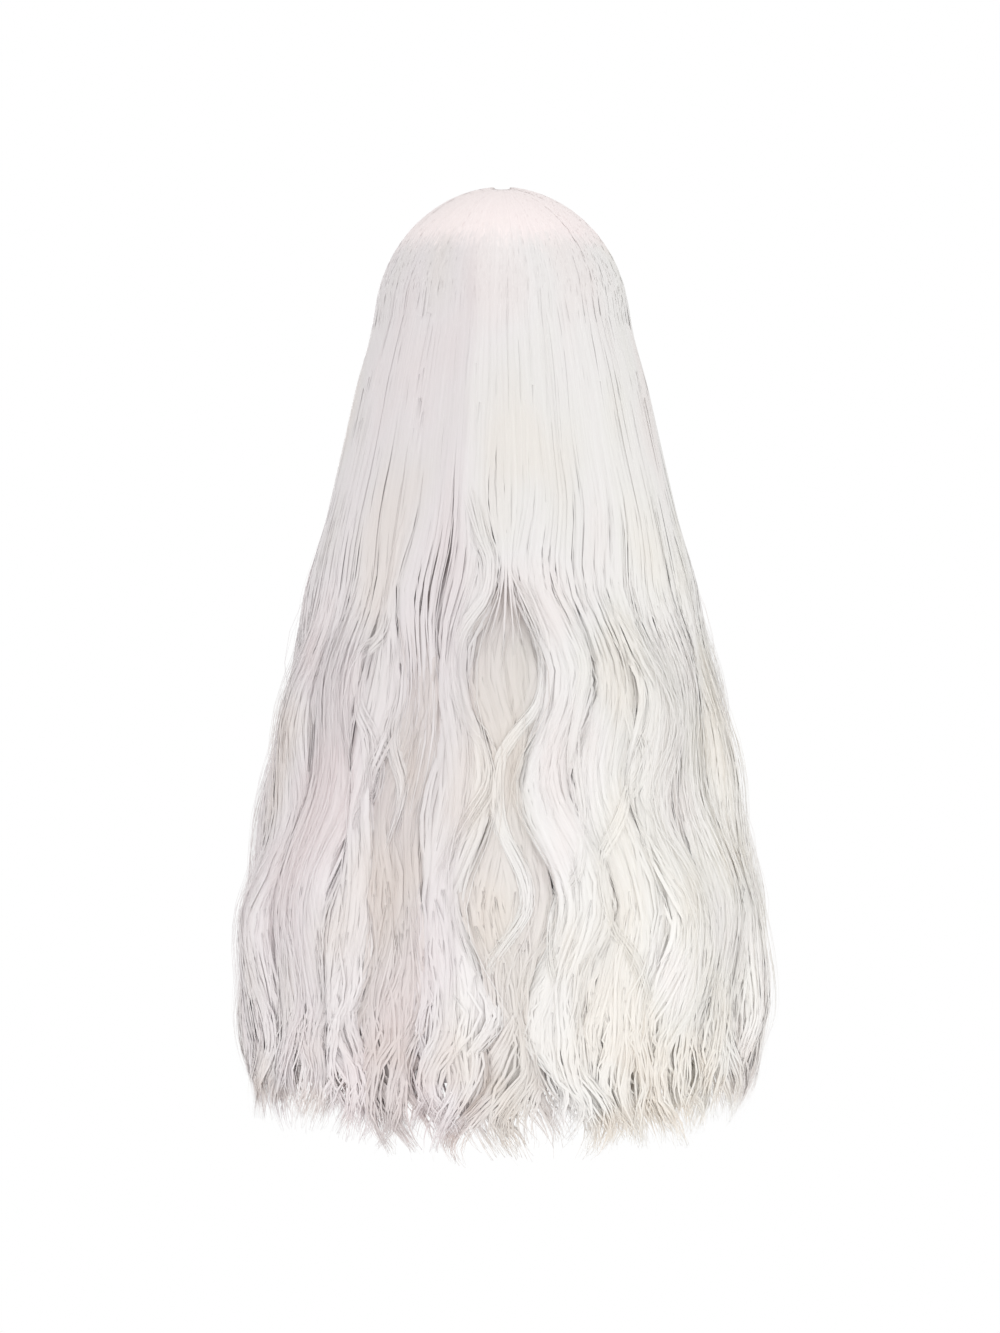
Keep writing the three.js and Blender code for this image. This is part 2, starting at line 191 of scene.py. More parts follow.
def lock_depths(place, share):
    """How deep the outer and the inner side of the lock lie there, below the outer hair."""
    lock, across = lock_of(place)
    drop = ring_drop + share * fall_length
    edge = 1 - np.sin(np.pi * np.clip(across, 0, 1)) ** lock_roundness
    relief = lock_relief * mix(straight_relief, 1, wave_size(drop)) * mix(lock_sunk[lock], 1, edge)
    swell = wave_swell * wave_size(drop) * (0.5 - 0.5 * wave_at(drop, lock * swell_turn))
    full = lock_thickness * read(fall_rows, "thick", share)
    return relief + swell, np.maximum(full, relief + least_thickness * full) + swell


streaks_round = 2  # the run of the fibre map across a metre of hair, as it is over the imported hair
strand_corners = [90, 210, 330]
strand_turned = 0.5
fine_flatness, strip_flatness, band_flatness = 0.35, 0.2, 0.1
strand_point = 0.92  # how much of its width a strand loses to its end
crown_taper, lock_taper, nape_taper = (0.35, 4, 0.7, 0.3), (0.5, 5, 0.72, 0.28), (0.3, 5, 0.8, 0.2)


def tapered(t, start, widening, narrow_from, narrow_length):
    """How wide a strand is along it: it soon reaches its width, and narrows to a point."""
    return np.minimum(1, start + widening * t) * (1 - rise(t, narrow_from, narrow_length) * strand_point)


def strand_widths(rng, shape, count, widest):
    """Each strand is at least half as wide as the widest one."""
    return shape * rng.uniform(0.5 * widest, widest, count)[:, None]


def strand_mesh(name, paths, radii, tone, across, flatness):
    """Closed three-sided strips along paths, flattened on the surface that across runs along. Their UV
    runs across them, from a tone of their own, and along them."""
    count, steps, _ = paths.shape
    along = np.gradient(paths, axis=1)
    along /= np.linalg.norm(along, axis=-1, keepdims=True) + 1e-12
    out = np.cross(along, across)
    out /= np.linalg.norm(out, axis=-1, keepdims=True) + 1e-12
    side = np.cross(out, along)
    corner = np.radians(strand_corners)[None, None, :, None]
    corner = corner + (tone[:, None, None, None] - 0.5) * strand_turned
    ring = np.cos(corner) * side[:, :, None] + flatness * np.sin(corner) * out[:, :, None]
    points = paths[:, :, None] + ring * radii[:, :, None, None]
    grid = np.arange(count * steps * 3).reshape(count, steps, 3)
    here, below = grid[:, :-1], grid[:, 1:]
    after = np.roll(grid, -1, axis=2)
    quads = np.stack([here, after[:, :-1], after[:, 1:], below], axis=-1).reshape(-1)
    ends = np.concatenate([grid[:, 0, ::-1].reshape(-1), grid[:, -1].reshape(-1)])
    corners = np.concatenate([quads, ends])
    mesh = bpy.data.meshes.new(name)
    mesh.vertices.add(points.size // 3)
    mesh.vertices.foreach_set("co", points.reshape(-1).astype(np.float32))
    mesh.loops.add(len(corners))
    mesh.loops.foreach_set("vertex_index", corners.astype(np.int32))
    starts = np.concatenate([np.arange(0, len(quads), 4), np.arange(len(quads), len(corners), 3)])
    mesh.polygons.add(len(starts))
    mesh.polygons.foreach_set("loop_start", starts.astype(np.int32))
    mesh.polygons.foreach_set("use_smooth", np.ones(len(starts), bool))
    strand = corners // (steps * 3)
    length = corners % (steps * 3) // 3 / (steps - 1)
    sideways = (np.cos(corner[..., 0]) * radii[:, :, None]).reshape(-1)[corners]
    layer = mesh.uv_layers.new(name="fibre")
    plan = np.stack([tone[strand] + streaks_round * sideways, length], axis=-1)
    layer.data.foreach_set("uv", plan.reshape(-1).astype(np.float32))
    mesh.update(calc_edges=True)
    edges = np.empty(len(mesh.edges) * 2, np.int32)
    mesh.edges.foreach_get("vertices", edges)
    first, second = edges[::2], edges[1::2]
    creased = (abs(first - second) == 3) & (first % 3 > 0)
    mesh.attributes.new("sharp_edge", "BOOLEAN", "EDGE").data.foreach_set("value", creased)
    return mesh


def node(tree, kind, **values):
    made = tree.nodes.new(kind)
    for key, value in values.items():
        setattr(made, key, value)
    return made


def axes(tree, vector):
    made = node(tree, "ShaderNodeSeparateXYZ")
    tree.links.new(vector, made.inputs[0])
    return made.outputs


def ramp(tree, source, stops):
    made = tree.nodes.new("ShaderNodeValToRGB")
    while len(made.color_ramp.elements) < len(stops):
        made.color_ramp.elements.new(0.5)
    for element, (place, colour) in zip(made.color_ramp.elements, stops):
        element.position = place
        element.color = (*colour, 1)
    tree.links.new(source, made.inputs[0])
    return made.outputs["Color"]


def blend_colours(tree, kind, factor, first, second):
    made = node(tree, "ShaderNodeMix", data_type="RGBA", blend_type=kind)
    for value, socket in ((factor, made.inputs[0]), (first, made.inputs[6]), (second, made.inputs[7])):
        if isinstance(value, bpy.types.NodeSocket):
            tree.links.new(value, socket)
        else:
            socket.default_value = value
    return made.outputs[2]


def span(tree, source, low, high, to_low=0, to_high=1):
    made = node(tree, "ShaderNodeMapRange", interpolation_type="SMOOTHSTEP")
    tree.links.new(source, made.inputs["Value"])
    for name, value in (("From Min", low), ("From Max", high), ("To Min", to_low), ("To Max", to_high)):
        made.inputs[name].default_value = value
    return made.outputs[0]


def noise(tree, vector, scale, detail=2):
    made = node(tree, "ShaderNodeTexNoise")
    made.inputs["Scale"].default_value = scale
    made.inputs["Detail"].default_value = detail
    tree.links.new(vector, made.inputs["Vector"])
    return made.outputs[0]


def stretched(tree, vector, scale):
    made = node(tree, "ShaderNodeMapping")
    made.inputs["Scale"].default_value = scale
    tree.links.new(vector, made.inputs["Vector"])
    return made.outputs[0]


streaks_drawn_out, crown_drawn_out = (260, 3, 1), (90, 2, 1)
streak_tones = [(0.3, (0.94, 0.933, 0.931)), (0.7, (1, 1, 1))]
# painted shade on the left of the hair and painted light on the right, over a cool grey to warm tint
side_light_and_shade = [(0.1, (0.82, 0.777, 0.785)), (0.35, (0.81, 0.768, 0.775)), (0.39, (0.867, 0.835, 0.833)),
                (0.55, (0.872, 0.85, 0.843)), (0.8, (0.895, 0.875, 0.862)), (0.97, (0.925, 0.905, 0.883))]
patch_tints = [(0.3, (1, 0.972, 0.968)), (0.44, (1, 1, 1)),
               (0.54, (0.985, 0.99, 0.975)), (0.68, (0.985, 0.97, 0.93))]
# painted shade in the pockets between the tips, darker and warmer
pocket_shade_colour = (0.965, 0.935, 0.905, 1)
# paler and rosier at the crown: partly the rosy tint of thin hair, partly a painted highlight from the
# light above
crown_tint_and_highlight = (1, 0.9, 0.89, 1)
left_side, right_side = -0.13, 0.18
side_wander, crown_wander = 0.05, 0.03
# painted shade: the colour is darkened towards the top of the hair, and lightened towards the tips as
# painted light against their own shade
shaded_from, shaded_to = -0.62, -0.16
pocket_shade_from, pocket_shade_to = -0.66, -0.58
crown_from, crown_to = -0.03, -0.008

fibre_group = bpy.data.node_groups.new("fibre_colour", "ShaderNodeTree")
fibre_group.interface.new_socket("Shade", in_out="INPUT", socket_type="NodeSocketColor")
fibre_group.interface.new_socket("Colour", in_out="OUTPUT", socket_type="NodeSocketColor")
fibre_group.interface.new_socket("Roughness", in_out="OUTPUT", socket_type="NodeSocketFloat")
fibre_group.interface.new_socket("Streaks", in_out="OUTPUT", socket_type="NodeSocketFloat")


def build_fibre_group(tree):
    """Fine streaks run down the fibres. The hair is a cool grey to the left and warmer to the right, with
    painted shade darkening the left and painted light brightening the right, as light falls from the right.
    Painted shade darkens it towards the top, painted light brightens it towards the tips, and painted shade
    darkens uneven pockets near the tips. It is palest and rosy at the crown, partly the rosy tint of thin
    hair and partly a painted highlight from the light above."""
    source = node(tree, "NodeGroupInput")
    result = node(tree, "NodeGroupOutput")
    uv = node(tree, "ShaderNodeUVMap", uv_map="fibre").outputs["UV"]
    streaks = noise(tree, stretched(tree, uv, streaks_drawn_out), 1, 3)
    tones = ramp(tree, streaks, streak_tones)
    place = node(tree, "ShaderNodeTexCoord").outputs["Object"]
    parts = axes(tree, place)
    wander = node(tree, "ShaderNodeMath", operation="MULTIPLY_ADD")
    wander.inputs[1].default_value = side_wander
    tree.links.new(noise(tree, stretched(tree, place, (1, 1, 0.45)), 14), wander.inputs[0])
    tree.links.new(parts["X"], wander.inputs[2])
    # mask from left to right for the painted side shade and light
    side_shading = span(tree, wander.outputs[0], left_side, right_side)
    base = ramp(tree, side_shading, side_light_and_shade)
    patches = noise(tree, stretched(tree, place, (1, 1, 0.5)), 17, 1)
    base = blend_colours(tree, "MULTIPLY", 1, base, ramp(tree, patches, patch_tints))
    # painted shade towards the top and painted light towards the tips
    shaded = span(tree, parts["Z"], shaded_from, shaded_to, 1.08, 0.96)
    base = blend_colours(tree, "MULTIPLY", 1, base, shaded)
    # painted shade in uneven pockets near the tips
    pocket_shade = node(tree, "ShaderNodeMath", operation="MULTIPLY")
    tree.links.new(span(tree, noise(tree, place, 22, 1), 0.46, 0.62), pocket_shade.inputs[0])
    tree.links.new(span(tree, parts["Z"], pocket_shade_from, pocket_shade_to, 1, 0), pocket_shade.inputs[1])
    base = blend_colours(tree, "MULTIPLY", pocket_shade.outputs[0], base, pocket_shade_colour)
    uneven = node(tree, "ShaderNodeMath", operation="MULTIPLY_ADD")
    uneven.inputs[1].default_value = crown_wander
    tree.links.new(noise(tree, stretched(tree, uv, crown_drawn_out), 1, 1), uneven.inputs[0])
    tree.links.new(parts["Z"], uneven.inputs[2])
    # the crown band: rosy tint of thin hair and painted highlight from the light above
    crown = span(tree, uneven.outputs[0], crown_from, crown_to, 0, 0.9)
    base = blend_colours(tree, "MIX", crown, base, crown_tint_and_highlight)
    base = blend_colours(tree, "MULTIPLY", 1, base, tones)
    base = blend_colours(tree, "MULTIPLY", 1, base, source.outputs["Shade"])
    tree.links.new(base, result.inputs["Colour"])
    tree.links.new(span(tree, streaks, 0.3, 0.7, 0.5, 0.4), result.inputs["Roughness"])
    tree.links.new(streaks, result.inputs["Streaks"])


build_fibre_group(fibre_group)


def new_material(name):
    made = bpy.data.materials.new(name)
    made.use_nodes = True
    return made, made.node_tree, made.node_tree.nodes["Principled BSDF"]


fibre_relief = 0.0008
strand_relief, packed_relief = 0.05, 0.15


def emboss(tree, shader, height, strength, distance):
    raised = node(tree, "ShaderNodeBump")
    raised.inputs["Strength"].default_value = strength
    raised.inputs["Distance"].default_value = distance
    tree.links.new(height, raised.inputs["Height"])
    tree.links.new(raised.outputs[0], shader.inputs["Normal"])


def hair_material(name, shade, relief):
    """The fibre, as strands with little relief of their own, or packed so close that it reads as
    fine streaks."""
    made, tree, shader = new_material(name)
    fibre = node(tree, "ShaderNodeGroup", node_tree=fibre_group)
    fibre.inputs["Shade"].default_value = shade
    emboss(tree, shader, fibre.outputs["Streaks"], relief, fibre_relief)
    tree.links.new(fibre.outputs["Colour"], shader.inputs["Base Color"])
    tree.links.new(fibre.outputs["Roughness"], shader.inputs["Roughness"])
    shader.inputs["Specular IOR Level"].default_value = 0.35
    shader.inputs["Sheen Weight"].default_value = 0.25
    shader.inputs["Sheen Roughness"].default_value = 0.45
    return made


fibre_material = hair_material("hair_fibre", (0.99, 0.99, 0.99, 1), strand_relief)
# a shaded copy of the fibre, darker and warmer: painted shade for locks that lie deep in the hair
shaded_fibre_material = hair_material("hair_fibre_shaded", (0.9, 0.875, 0.855, 1), strand_relief)
# a lit copy of the fibre, a shade lighter: painted light for the raised wisps that cross over the locks
lit_fibre_material = hair_material("hair_fibre_lit", (1, 1, 0.995, 1), strand_relief)
# the packed hair under the strands is a shade lighter than them: painted light that lifts the shade in the
# gaps between strands
under_material = hair_material("hair_packed", (1, 1, 1, 1), packed_relief)


search_rounds = 6


def where_on_fall(points):
    """The share of the fall, the angle round it and the depth below the outer hair of each point."""
    x, y, z = points.T
    share = np.clip((-head_height - z) / fall_length, 0, 1)
    width, back, front = fall_sizes(share)
    reach = np.where(y < 0, back, front)
    depth = np.full(len(x), layers / 2)
    for _ in range(search_rounds):
        turn = np.arctan2(x / (width - depth), -y / (reach - depth))
        sine, cosine = np.sin(turn), np.cos(turn)
        depth = width * sine**2 + reach * cosine**2 - (x * sine - y * cosine)
    return share, np.degrees(turn), depth


def place_at(angle, share, low=-1, high=1):
    """The place round the hair that hangs at this angle there."""
    place = np.clip(angle / front_edge(share), low, high)
    for _ in range(search_rounds):
        place = np.clip(place + (angle - flow_angle(place, share)) / front_edge(share), low, high)
    return place


def vertices_of(mesh):
    points = np.empty(len(mesh.vertices) * 3)
    mesh.vertices.foreach_get("co", points)
    return points.reshape(-1, 3)


def lay_map(mesh, name, across, down):
    """Gives the mesh a UV map, from two values at each vertex."""
    corner = np.empty(len(mesh.loops), np.int32)
    mesh.loops.foreach_get("vertex_index", corner)
    layer = mesh.uv_layers.new(name=name)
    layer.data.foreach_set("uv", np.stack([across, down], axis=-1)[corner].reshape(-1).astype(np.float32))


def comb(body):
    """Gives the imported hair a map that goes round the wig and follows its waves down."""
    share, angle, _ = where_on_fall(vertices_of(body.data))
    lay_map(body.data, "fibre", place_at(angle, share), share)


sharp_angle = 50


def smooth_copy(source, levels, edges_kept=False):
    """A copy of the node's own solid, merged and rounded, to take its place."""
    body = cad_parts[source].copy()
    body.data = body.data.copy()
    body.name = source + "_made"
    for key in list(body.keys()):
        del body[key]
    body.parent = None
    bpy.context.scene.collection.objects.link(body)
    bpy.ops.object.select_all(action="DESELECT")
    body.select_set(True)
    bpy.context.view_layer.objects.active = body
    body.data.materials.clear()
    bpy.ops.object.mode_set(mode="EDIT")
    bpy.ops.mesh.select_all(action="SELECT")
    bpy.ops.mesh.remove_doubles(threshold=0.00001)
    bpy.ops.mesh.tris_convert_to_quads()
    if edges_kept:
        bpy.ops.mesh.select_mode(type="EDGE")
        bpy.ops.mesh.select_all(action="DESELECT")
        bpy.ops.mesh.edges_select_sharp(sharpness=math.radians(sharp_angle))
        bpy.ops.transform.edge_crease(value=1)
        bpy.ops.mesh.mark_sharp()
    bpy.ops.object.mode_set(mode="OBJECT")
    rounding = body.modifiers.new("rounding", "SUBSURF")
    rounding.levels = rounding.render_levels = levels
    bpy.ops.object.modifier_apply(modifier="rounding")
    bpy.ops.object.shade_smooth()
    return body


def under_body(source, sink, cut):
    """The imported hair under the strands, sunk a little below them and cut short above its tip."""
    body = smooth_copy(source, 1)
    bpy.ops.object.mode_set(mode="EDIT")
    bpy.ops.mesh.select_all(action="SELECT")
    bpy.ops.mesh.bisect(plane_co=(0, 0, cut), plane_no=(0, 0, 1), use_fill=True, clear_inner=True)
    bpy.ops.mesh.select_all(action="SELECT")
    bpy.ops.transform.shrink_fatten(value=-sink)
    bpy.ops.object.mode_set(mode="OBJECT")
    comb(body)
    return body


def dress(body, source, packed, covers):
    """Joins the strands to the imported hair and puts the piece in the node's place."""
    body.data.materials.append(packed)
    bpy.ops.object.select_all(action="DESELECT")
    for mesh, material in covers:
        mesh.materials.append(material)
        cover = bpy.data.objects.new(mesh.name, mesh)
        bpy.context.scene.collection.objects.link(cover)
        cover.select_set(True)
    body.select_set(True)
    bpy.context.view_layer.objects.active = body
    bpy.ops.object.join()
    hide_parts(source)
    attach(body, "root")
    return body


def wobble(rng, count, steps, size, waves):
    """A smooth random wander for each strand, of about the given size."""
    t = np.linspace(0, 1, steps)[None, :]
    total = np.zeros((count, steps))
    for wave in waves:
        turn = rng.random((count, 1))
        strength = rng.normal(0, 1, (count, 1))
        total += strength * np.sin(2 * np.pi * (wave * t + turn)) / math.sqrt(len(waves))
    return size * total


parting_bared = 0.0036  # how much of the parting strip shows between the roots
dome_length = 0.15  # from the parting over to the widest level
crown_relief = 0.0022
side_tufts, back_tufts = 8, 4  # counted by their slopes, two to a tuft
tuft_low, tuft_high = 0.33, 0.67  # how deep in the crown's relief the tufts lie
root_rise, root_spread = 2.6, 4  # degrees over the head
off_locks = 0.0004
back_end = crown_back_angle / front_angle
crown_span = {"crown_hair_left": (-1, -back_end), "crown_hair_back": (-back_end, back_end),
              "crown_hair_right": (back_end, 1)}


def crown_surface(places, over, share, deep, root):
    """Points on the crown hair, deep below its surface, over the dome and then down the fall."""
    angle = places * front_angle
    tufts = side_tufts * (abs(places) - back_end) / (1 - back_end)
    tufts = np.where(abs(angle) < crown_back_angle, back_tufts * angle / crown_back_angle, tufts)
    ridge = crown_relief * mix(tuft_low, tuft_high, abs(tufts % 2 - 1))
    risen = rise(over, root, root_rise)
    on_dome = dome_point(angle, over, mix(under_inner, deep + ridge * smooth(over / 90), risen))
    cover = read(cover_rows, "cover", share)
    on_locks = lock_depths(places, share)[0] + deep - off_locks
    fallen = mix(deep + ridge * cover, on_locks, lock_bared(share))
    below = fall_point(flow_angle(places, share), share, fallen)
    return np.where((over < 90)[..., None], on_dome, below)


crown_layer, crown_raised, crown_uneven = 0.0008, 0.0006, 0.0001
crown_drift = 0.0012
shortest, longest, longest_over_sunk = 0.2, 0.66, 0.42  # shares of the fall
very_sunk = 0.8
root_steps = 0.3  # the smaller, the closer the steps lie at the roots
fan_bared = 0.3  # how much less the parting shows where the hair fans out
face_from, face_to = 0.965, 0.997
face_outer, face_inner = 0.001, 0.002


def crown_strands(name, seed, count, steps, widest, at_face=False):
    """Strands from the parting over the dome and down the fall, and which way they are flat. Those at
    the face fill the edge of the hair down to the cap."""
    rng = np.random.default_rng(seed)
    low, high = crown_span[name]
    place = mix(low, high, (rng.permutation(count) + rng.random(count)) / count)
    if at_face:
        place = np.sign(place) * rng.uniform(face_from, face_to, count)
    layer = rng.random(count) ** 1.4
    over_sunk = lock_sunk[lock_of(place)[0]] > very_sunk
    end = mix(shortest, np.where(over_sunk, longest_over_sunk, longest), rng.random(count) ** 0.9)
    sewn_angle = np.radians(np.maximum(abs(place) * front_angle, fan_angle))
    inner_reach = (head_width / 2 + layers - under_inner) * np.sin(sewn_angle)
    bared = parting_bared * np.where(abs(place) * front_angle < fan_angle, fan_bared, 1)
    root = np.degrees(np.arcsin(bared / 2 / inner_reach))
    root = (root + rng.random(count) ** 2 * root_spread * layer)[:, None]
    total = dome_length + end * fall_length
    t = np.hypot(np.linspace(0, 1, steps), root_steps)[None, :] - root_steps
    t = t / (math.hypot(1, root_steps) - root_steps)
    length = t * total[:, None]
    over = mix(root, 90, np.clip(length / dome_length, 0, 1))
    share = np.clip((length - dome_length) / fall_length, 0, 1)
    deep = crown_layer * layer[:, None] - crown_raised + wobble(rng, count, steps, crown_uneven, (1, 2, 4))
    if at_face:
        deep = deep + mix(face_outer, under_inner - face_inner, rng.random(count)[:, None])
    drift = wobble(rng, count, steps, crown_drift, (1.5, 3)) * smooth(over / 40)
    places = place[:, None] + drift * degrees_per_metre(place[:, None] * front_angle, share) / front_angle
    paths = crown_surface(places, over, share, deep, root)
    aside, inward = (0, 0.002) if at_face else (0.004, 0)
    beside = crown_surface(places + aside, over, share, deep + inward, root)
    radii = strand_widths(rng, tapered(t, *crown_taper), count, widest)
    return paths, radii, rng.random(count), beside - paths


crown_sink, crown_cut = 0.0016, -0.225
crown_bands = {"count": 300, "steps": 26, "widest": 0.0024}
crown_fine = {"count": 110, "steps": 26, "widest": 0.0005}
crown_face = {"count": 90, "steps": 18, "widest": 0.0018, "at_face": True}


def build_crown(name, seed):
    body = under_body(name, crown_sink, crown_cut)
    bands = crown_strands(name, seed, **crown_bands)
    fine = crown_strands(name, 50 + seed, **crown_fine)
    covers = [(strand_mesh(name + "_bands", *bands, band_flatness), fibre_material),
              (strand_mesh(name + "_strands", *fine, fine_flatness), fibre_material)]
    if name != "crown_hair_back":
        face = crown_strands(name, 80 + seed, **crown_face)
        covers.append((strand_mesh(name + "_face", *face, strip_flatness), fibre_material))
    dress(body, name, under_material, covers)


for seed, name in enumerate(crown_span):
    build_crown(name, seed)

# Long locks
# Bundles of the same fibre, sewn round the cap under the crown hair. Each hangs in S-shaped waves
# between the waves of its neighbours, and parts near its end into curled, pointed wisps.
lock_names = ["lock_front_left_2", "lock_front_left_1",
              "lock_side_left_3", "lock_side_left_2", "lock_side_left_1",
              "lock_back_left_3", "lock_back_left_2", "lock_back_left_1", "lock_back_centre",
              "lock_back_right_1", "lock_back_right_2", "lock_back_right_3",
              "lock_side_right_1", "lock_side_right_2", "lock_side_right_3",
              "lock_front_right_1", "lock_front_right_2"]
lock_short = [0, 0.02, 0, 0.015, 0, 0.012, 0, 0.01, 0, 0.005, 0, -0.01, 0, -0.01, 0.01, 0, 0.02]
strands_longer = {"lock_side_left_3": 0.03, "lock_side_left_2": 0.03}
tip_rows = {"at": [0, 0.21, 0.35, 0.53, 0.65, 0.85, 1], "tip": [1, 0.99, 0.975, 0.95, 0.93, 0.91, 0.89]}


def lock_tip(lock):
    middle = (edge_at[lock] + edge_at[lock + 1]) / 2
    return read(tip_rows, "tip", abs(middle)) - lock_short[lock]


def lay(body, angle, share, depth, moved):
    """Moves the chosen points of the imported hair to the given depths."""
    laid = fall_point(angle, share, depth)
    points = np.where(moved[:, None], laid, vertices_of(body.data))
    body.data.vertices.foreach_set("co", points.reshape(-1).astype(np.float32))
    body.data.update()


crown_room, sunk_room = 0.001, 0.25
lap_from, lap_over = 0.19, 0.05
tip_sink, tip_from, tip_over = 0.0018, -0.14, 0.1
tip_thinning, thin_from, thin_over, thinned_to = 0.8, -0.16, 0.08, 0.6
settled_drop, settled_part, kept_edge = 0.01, 0.45, 0.03


def settle(body, lock, tip):
    """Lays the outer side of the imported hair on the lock's own waves, just below the strands, and
    thins it out towards the tip."""
    points = vertices_of(body.data)
    share, angle, depth = where_on_fall(points)
    place = place_at(angle, share, edge_at[lock], edge_at[lock + 1])
    outer, innermost = lock_depths(place, share)
    cover = read(cover_rows, "cover", share)
    under_crown = mix(crown_relief * 0.5 * cover, outer, lock_bared(share))
    under_crown = under_crown + crown_room * smooth(cover / 0.2)
    if lock_sunk[lock] > very_sunk:
        under_crown = outer + sunk_room * under_outer * cover
    outer = mix(outer + under_outer * cover, under_crown, rise(share, lap_from, lap_over))
    outer = outer + tip_sink * rise(share - tip, tip_from, tip_over)
    across = (place - edge_at[lock]) / (edge_at[lock + 1] - edge_at[lock])
    settled = (points[:, 2] < -head_height - settled_drop) & (depth < mix(outer, innermost, settled_part))
    settled &= (across > kept_edge) & (across < 1 - kept_edge)
    depth = np.where(settled, outer, depth)
    thinning = tip_thinning * rise(share - tip, thin_from, thin_over)
    depth = mix(depth, mix(outer, innermost, thinned_to), thinning)
    lay(body, angle, share, depth, settled | (thinning > 0))


wisps_in_lock = 6
wisp_uneven, wisp_sizes, wisp_ends = 0.3, (0.35, 1), (0.975, 1.005)
wisp_pitches = (0.55, 1.1)  # of the length of a wave
steps_drawn_in = 1.3


def wisps_of(lock):
    """The wisps that a lock parts into: where each lies across it, how it waves and curls, and where
    it ends."""
    rng = np.random.default_rng(lock)
    count = wisps_in_lock
    return {"middle": (np.arange(count) + 0.5 + rng.uniform(-wisp_uneven, wisp_uneven, count)) / count,
            "turn": rng.random((count, 4)),
            "size": rng.uniform(*wisp_sizes, (count, 4)),
            "pitch": rng.uniform(*wisp_pitches, (count, 2)) * wave_length,
            "raised": rng.permutation(count) / count,
            "end": rng.uniform(*wisp_ends, count)}


def closer_steps(steps):
    """Steps from 0 to 1 that lie closer together towards the end, where the hair curls."""
    return 1 - (1 - np.linspace(0, 1, steps)[None, :]) ** steps_drawn_in


gather_early, gather_late = (0.12, 0.5), (0.7, 0.3)  # the share of the fall, and over how much
last_place = 0.995
wisp_swing, wisp_heave, wisp_raised, most_raised = 0.006, 0.0004, 0.0005, 0.006
curl_size, curl_from, curl_over, curl_heave = 0.011, 0.76, 0.2, 0.2
curl_pitches = (0.07, 0.12)
strand_swing, strand_heave = 0.0018, 0.0002


def hang(rng, lock, wisp, across, first, last, steps, together):
    """How the strands of a lock hang: the place, the share of the fall, the drop, the turn and the
    lift at each step. Those of a wisp draw together, share a small wave of its own, and curl together
    at the end."""
    wisps = wisps_of(lock)
    left, right = edge_at[lock], edge_at[lock + 1]
    count = len(wisp)
    t = closer_steps(steps)
    share = mix(first[:, None], last[:, None], t)
    drop = ring_drop + share * fall_length
    gathered = together * (0.5 * rise(share, *gather_early) + 0.5 * rise(share, *gather_late))
    places = mix(left, right, mix(across[:, None], wisps["middle"][wisp][:, None], gathered))
    places = np.clip(places, -last_place, last_place)
    turn, size, pitch = wisps["turn"][wisp], wisps["size"][wisp], wisps["pitch"][wisp]
    grown = wave_size(drop)
    swing = wisp_swing * size[:, :1] * grown * np.sin(2 * np.pi * (drop / pitch[:, :1] + turn[:, :1]))
    heave = wisp_heave * size[:, 1:2] * grown * np.sin(2 * np.pi * (drop / pitch[:, 1:] + turn[:, 1:2]))
    curl = rise(share, curl_from, curl_over) * curl_size
    spin = 2 * np.pi * (drop / mix(*curl_pitches, size[:, 2:3]) + turn[:, 2:3])
    swing = swing + curl * np.sin(spin) + wobble(rng, count, steps, strand_swing, (1.5, 3, 6)) * grown
    heave = heave + curl * curl_heave * np.cos(spin)
    heave = heave + wobble(rng, count, steps, strand_heave, (2, 5)) * grown
    heave = heave - wisp_raised * wisps["raised"][wisp][:, None] * grown
    angles = flow_angle(places, share)
    return places, share, drop, swing * degrees_per_metre(angles, share), np.maximum(heave, -most_raised)


wisp_spread, past_edge = 0.8, 0.15
flank_part, flank_at = 0.12, 0.02
inner_high, inner_raised = 0.3, 0.3
buried_parts = (0.02, 0.9)
outer_layer, tip_layer, lifted = 0.0006, 0.0015, 0.0008
inner_sunk, inner_layer = 0.0004, 0.0016
beside_strand, beside_degrees = 0.003, 0.3


def lock_strands(lock, seed, count, steps, first, last, widest,
                 inner_part=0.16, together=0.7, loose=0, few=3):
    """Strands of one lock between two shares of the fall, most of them over its outer side. They
    float off it by up to the loose distance, and the greater few is, the fewer do."""
    rng = np.random.default_rng(seed)
    wisp = rng.integers(0, wisps_in_lock, count)
    across = (wisp + 0.5) / wisps_in_lock + rng.normal(0, wisp_spread / wisps_in_lock, count)
    across = np.clip(across, -past_edge, 1 + past_edge)
    inner = rng.random(count) < inner_part
    flank = rng.random(count) < flank_part
    across = np.where(flank, np.where(across < 0.5, flank_at, 1 - flank_at), across)
    layer = (rng.random(count) ** 1.6)[:, None]
    afloat = (rng.random(count) ** few)[:, None]
    start = rng.uniform(*first, count)
    start = np.where(inner & (start < inner_high), inner_raised * start, start)
    tip = lock_tip(lock)
    end = tip * (wisps_of(lock)["end"][wisp] + rng.uniform(*last, count))
    end = end + strands_longer.get(lock_names[lock], 0)
    places, share, drop, turned, heave = hang(rng, lock, wisp, across, start, end, steps, together)

    def at(places):
        outer, innermost = lock_depths(places, share)
        buried = under_outer * read(cover_rows, "cover", share)
        thinned = tip_layer * rise(share - tip, tip_from, tip_over)
        on_top = outer + buried * mix(*buried_parts, layer) + (outer_layer + thinned) * layer
        on_top = on_top - (lifted + loose) * afloat * wave_size(drop)
        outer = outer + buried
        below = np.maximum(innermost + inner_sunk - inner_layer * layer, outer)
        between = mix(outer, innermost, layer)
        depth = np.where(flank[:, None], between, np.where(inner[:, None], below, on_top))
        return fall_point(flow_angle(places, share) + turned, share, depth + heave)

    radii = strand_widths(rng, tapered(closer_steps(steps), *lock_taper), count, widest)
    tone = np.clip(0.5 * rng.random(wisps_in_lock)[wisp] + 0.5 * rng.random(count), 0, 1)
    return at(places), radii, tone, at(places + beside_strand) - at(places - beside_strand)


